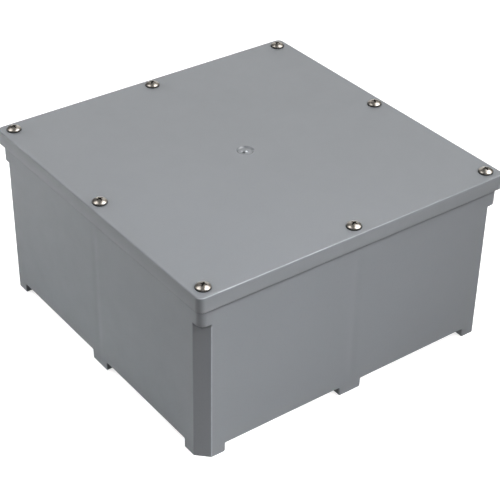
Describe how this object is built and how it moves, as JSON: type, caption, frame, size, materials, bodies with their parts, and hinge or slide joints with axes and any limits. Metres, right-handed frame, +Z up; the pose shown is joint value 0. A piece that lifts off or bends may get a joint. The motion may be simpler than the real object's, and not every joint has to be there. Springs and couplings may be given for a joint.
{
  "type": "electrical junction box",
  "caption": "Square moulded plastic junction box with a flat overhanging cover held by domed cross-recess screws, chamfered corners and integral feet.",
  "frame": {"origin": "middle of the box, in the plane that the feet stand on", "axes": "+Z up out of the cover; +X to the right and +Y to the back, square to the walls"},
  "size_m": [0.318, 0.318, 0.1699],
  "materials": {
    "base_plastic": "fine satin moulded grey PVC",
    "cover_plastic": "fine satin moulded grey PVC",
    "gasket_foam": "soft closed-cell rubber",
    "washer_rubber": "smooth black rubber",
    "insert_brass": "turned brass",
    "screw_steel": "bright passivated stainless steel"
  },
  "bodies": {
    "base": {"base": "base_plastic", "insert_front_left": "insert_brass", "insert_front_right": "insert_brass", "insert_back_right": "insert_brass", "insert_back_left": "insert_brass", "insert_front": "insert_brass", "insert_right": "insert_brass", "insert_back": "insert_brass", "insert_left": "insert_brass"},
    "cover": {"cover": "cover_plastic", "gasket": "gasket_foam"},
    "washer_front_left": {"washer_front_left": "washer_rubber"},
    "screw_front_left": {"screw_front_left": "screw_steel"},
    "washer_front_right": {"washer_front_right": "washer_rubber"},
    "screw_front_right": {"screw_front_right": "screw_steel"},
    "washer_back_right": {"washer_back_right": "washer_rubber"},
    "screw_back_right": {"screw_back_right": "screw_steel"},
    "washer_back_left": {"washer_back_left": "washer_rubber"},
    "screw_back_left": {"screw_back_left": "screw_steel"},
    "washer_front": {"washer_front": "washer_rubber"},
    "screw_front": {"screw_front": "screw_steel"},
    "washer_right": {"washer_right": "washer_rubber"},
    "screw_right": {"screw_right": "screw_steel"},
    "washer_back": {"washer_back": "washer_rubber"},
    "screw_back": {"screw_back": "screw_steel"},
    "washer_left": {"washer_left": "washer_rubber"},
    "screw_left": {"screw_left": "screw_steel"}
  },
  "joints": [
    {"name": "cover_lift", "type": "slide", "parent": "base", "child": "cover", "axis": [0, 0, 1], "range_m": [0, 0.2]},
    {"name": "rise_front_left", "type": "slide", "parent": "cover", "child": "washer_front_left", "axis": [0, 0, 1], "range_m": [0, 0.01111]},
    {"name": "turn_front_left", "type": "hinge", "parent": "washer_front_left", "child": "screw_front_left", "pos_m": [-0.1471, -0.1471, 0.166], "axis": [0, 0, 1], "range_deg": [0, 3782]},
    {"name": "rise_front_right", "type": "slide", "parent": "cover", "child": "washer_front_right", "axis": [0, 0, 1], "range_m": [0, 0.01111]},
    {"name": "turn_front_right", "type": "hinge", "parent": "washer_front_right", "child": "screw_front_right", "pos_m": [0.1471, -0.1471, 0.166], "axis": [0, 0, 1], "range_deg": [0, 3782]},
    {"name": "rise_back_right", "type": "slide", "parent": "cover", "child": "washer_back_right", "axis": [0, 0, 1], "range_m": [0, 0.01111]},
    {"name": "turn_back_right", "type": "hinge", "parent": "washer_back_right", "child": "screw_back_right", "pos_m": [0.1471, 0.1471, 0.166], "axis": [0, 0, 1], "range_deg": [0, 3782]},
    {"name": "rise_back_left", "type": "slide", "parent": "cover", "child": "washer_back_left", "axis": [0, 0, 1], "range_m": [0, 0.01111]},
    {"name": "turn_back_left", "type": "hinge", "parent": "washer_back_left", "child": "screw_back_left", "pos_m": [-0.1471, 0.1471, 0.166], "axis": [0, 0, 1], "range_deg": [0, 3782]},
    {"name": "rise_front", "type": "slide", "parent": "cover", "child": "washer_front", "axis": [0, 0, 1], "range_m": [0, 0.01111]},
    {"name": "turn_front", "type": "hinge", "parent": "washer_front", "child": "screw_front", "pos_m": [0, -0.1479, 0.166], "axis": [0, 0, 1], "range_deg": [0, 3782]},
    {"name": "rise_right", "type": "slide", "parent": "cover", "child": "washer_right", "axis": [0, 0, 1], "range_m": [0, 0.01111]},
    {"name": "turn_right", "type": "hinge", "parent": "washer_right", "child": "screw_right", "pos_m": [0.1479, 0, 0.166], "axis": [0, 0, 1], "range_deg": [0, 3782]},
    {"name": "rise_back", "type": "slide", "parent": "cover", "child": "washer_back", "axis": [0, 0, 1], "range_m": [0, 0.01111]},
    {"name": "turn_back", "type": "hinge", "parent": "washer_back", "child": "screw_back", "pos_m": [0, 0.1479, 0.166], "axis": [0, 0, 1], "range_deg": [0, 3782]},
    {"name": "rise_left", "type": "slide", "parent": "cover", "child": "washer_left", "axis": [0, 0, 1], "range_m": [0, 0.01111]},
    {"name": "turn_left", "type": "hinge", "parent": "washer_left", "child": "screw_left", "pos_m": [-0.1479, 0, 0.166], "axis": [0, 0, 1], "range_deg": [0, 3782]}
  ],
  "couplings": [
    {"joint": "turn_front_left", "follows": "rise_front_left", "rad_per_m": 5938.7},
    {"joint": "turn_front_right", "follows": "rise_front_right", "rad_per_m": 5938.7},
    {"joint": "turn_back_right", "follows": "rise_back_right", "rad_per_m": 5938.7},
    {"joint": "turn_back_left", "follows": "rise_back_left", "rad_per_m": 5938.7},
    {"joint": "turn_front", "follows": "rise_front", "rad_per_m": 5938.7},
    {"joint": "turn_right", "follows": "rise_right", "rad_per_m": 5938.7},
    {"joint": "turn_back", "follows": "rise_back", "rad_per_m": 5938.7},
    {"joint": "turn_left", "follows": "rise_left", "rad_per_m": 5938.7}
  ]
}
